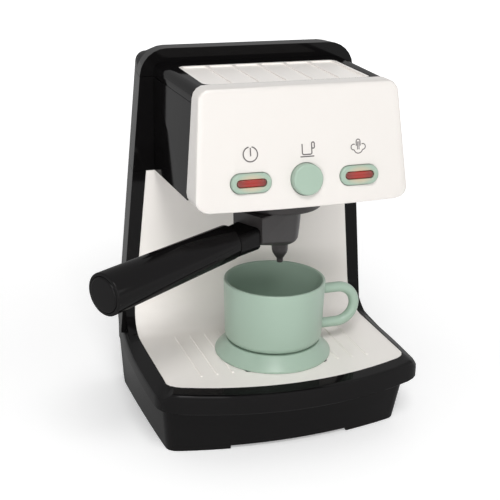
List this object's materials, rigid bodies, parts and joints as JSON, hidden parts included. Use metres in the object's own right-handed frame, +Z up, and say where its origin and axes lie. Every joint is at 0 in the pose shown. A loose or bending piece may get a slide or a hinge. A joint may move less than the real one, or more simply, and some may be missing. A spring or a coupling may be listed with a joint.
{
  "type": "toy coffee maker",
  "caption": "Toy coffee maker with push buttons, a turning portafilter, a cup that slides off its stand and a battery door in the back.",
  "frame": {"origin": "on the table, under the middle of the box round the whole thing", "axes": "+Z up, -Y out of the front, +X to the right of someone who faces the front"},
  "size_m": [0.2232, 0.1762, 0.2397],
  "materials": {
    "black_casing": "gloss",
    "white_shell": "satin gloss",
    "mint_plastic": "satin gloss",
    "grey_plastic": "satin",
    "red_lens": "clear tint",
    "green_board": "solder mask",
    "black_parts": "matte",
    "screw_steel": "plated",
    "cell_sleeve": "printed sleeve",
    "red_wire": "insulation",
    "black_wire": "insulation"
  },
  "bodies": {
    "machine": {"lower_body": "black_casing", "base_plate": "black_casing", "head_housing": "black_casing", "top_cover": "black_casing", "rear_shell": "black_casing", "front_plate": "white_shell", "tray_panel": "white_shell", "cup_rack": "white_shell", "circuit_board": "green_board", "switch_power": "black_parts", "switch_coffee": "black_parts", "switch_steam": "black_parts", "led_power": "red_lens", "led_steam": "red_lens", "board_screw_1": "screw_steel", "board_screw_2": "screw_steel", "group_ring": "grey_plastic", "shower_disc": "grey_plastic", "cup_stand": "mint_plastic", "battery_upper": "cell_sleeve", "battery_lower": "cell_sleeve", "battery_contact_right": "screw_steel", "battery_contact_left": "screw_steel", "speaker": "black_parts", "back_screw_1": "screw_steel", "back_screw_2": "screw_steel", "back_screw_3": "screw_steel", "back_screw_4": "screw_steel", "base_screw_1": "screw_steel", "base_screw_2": "screw_steel", "base_screw_3": "screw_steel", "base_screw_4": "screw_steel", "battery_wire_red": "red_wire", "battery_wire_black": "black_wire", "speaker_wire_red": "red_wire", "speaker_wire_black": "black_wire"},
    "portafilter": {"portafilter_bowl": "grey_plastic", "portafilter_spout": "grey_plastic", "handle_neck": "black_casing", "handle_grip": "black_casing", "handle_end_cap": "black_casing", "handle_screw": "screw_steel"},
    "cup_body": {"cup": "mint_plastic"},
    "power_key": {"button_power": "mint_plastic", "lens_power": "red_lens"},
    "coffee_key": {"button_coffee": "mint_plastic"},
    "steam_key": {"button_steam": "mint_plastic", "lens_steam": "red_lens"},
    "door": {"battery_door": "black_casing", "battery_door_screw": "screw_steel"}
  },
  "joints": [
    {"name": "power_press", "type": "slide", "parent": "machine", "child": "power_key", "axis": [0, 0.9829, -0.184], "range_m": [0, 0.0015], "stiffness_N_per_m": 300, "springref_m": -0.002},
    {"name": "coffee_press", "type": "slide", "parent": "machine", "child": "coffee_key", "axis": [0, 0.9829, -0.184], "range_m": [0, 0.0015], "stiffness_N_per_m": 300, "springref_m": -0.002},
    {"name": "steam_press", "type": "slide", "parent": "machine", "child": "steam_key", "axis": [0, 0.9829, -0.184], "range_m": [0, 0.0015], "stiffness_N_per_m": 300, "springref_m": -0.002},
    {"name": "portafilter_turn", "type": "hinge", "parent": "machine", "child": "portafilter", "pos_m": [0.02196, -0.00544, 0.15], "axis": [0, 0, 1], "range_deg": [0, 60]},
    {"name": "cup_slide", "type": "slide", "parent": "machine", "child": "cup_body", "axis": [0, -1, 0], "range_m": [0, 0.11]},
    {"name": "door_slide", "type": "slide", "parent": "machine", "child": "door", "axis": [0, 1, 0], "range_m": [0, 0.012]}
  ]
}
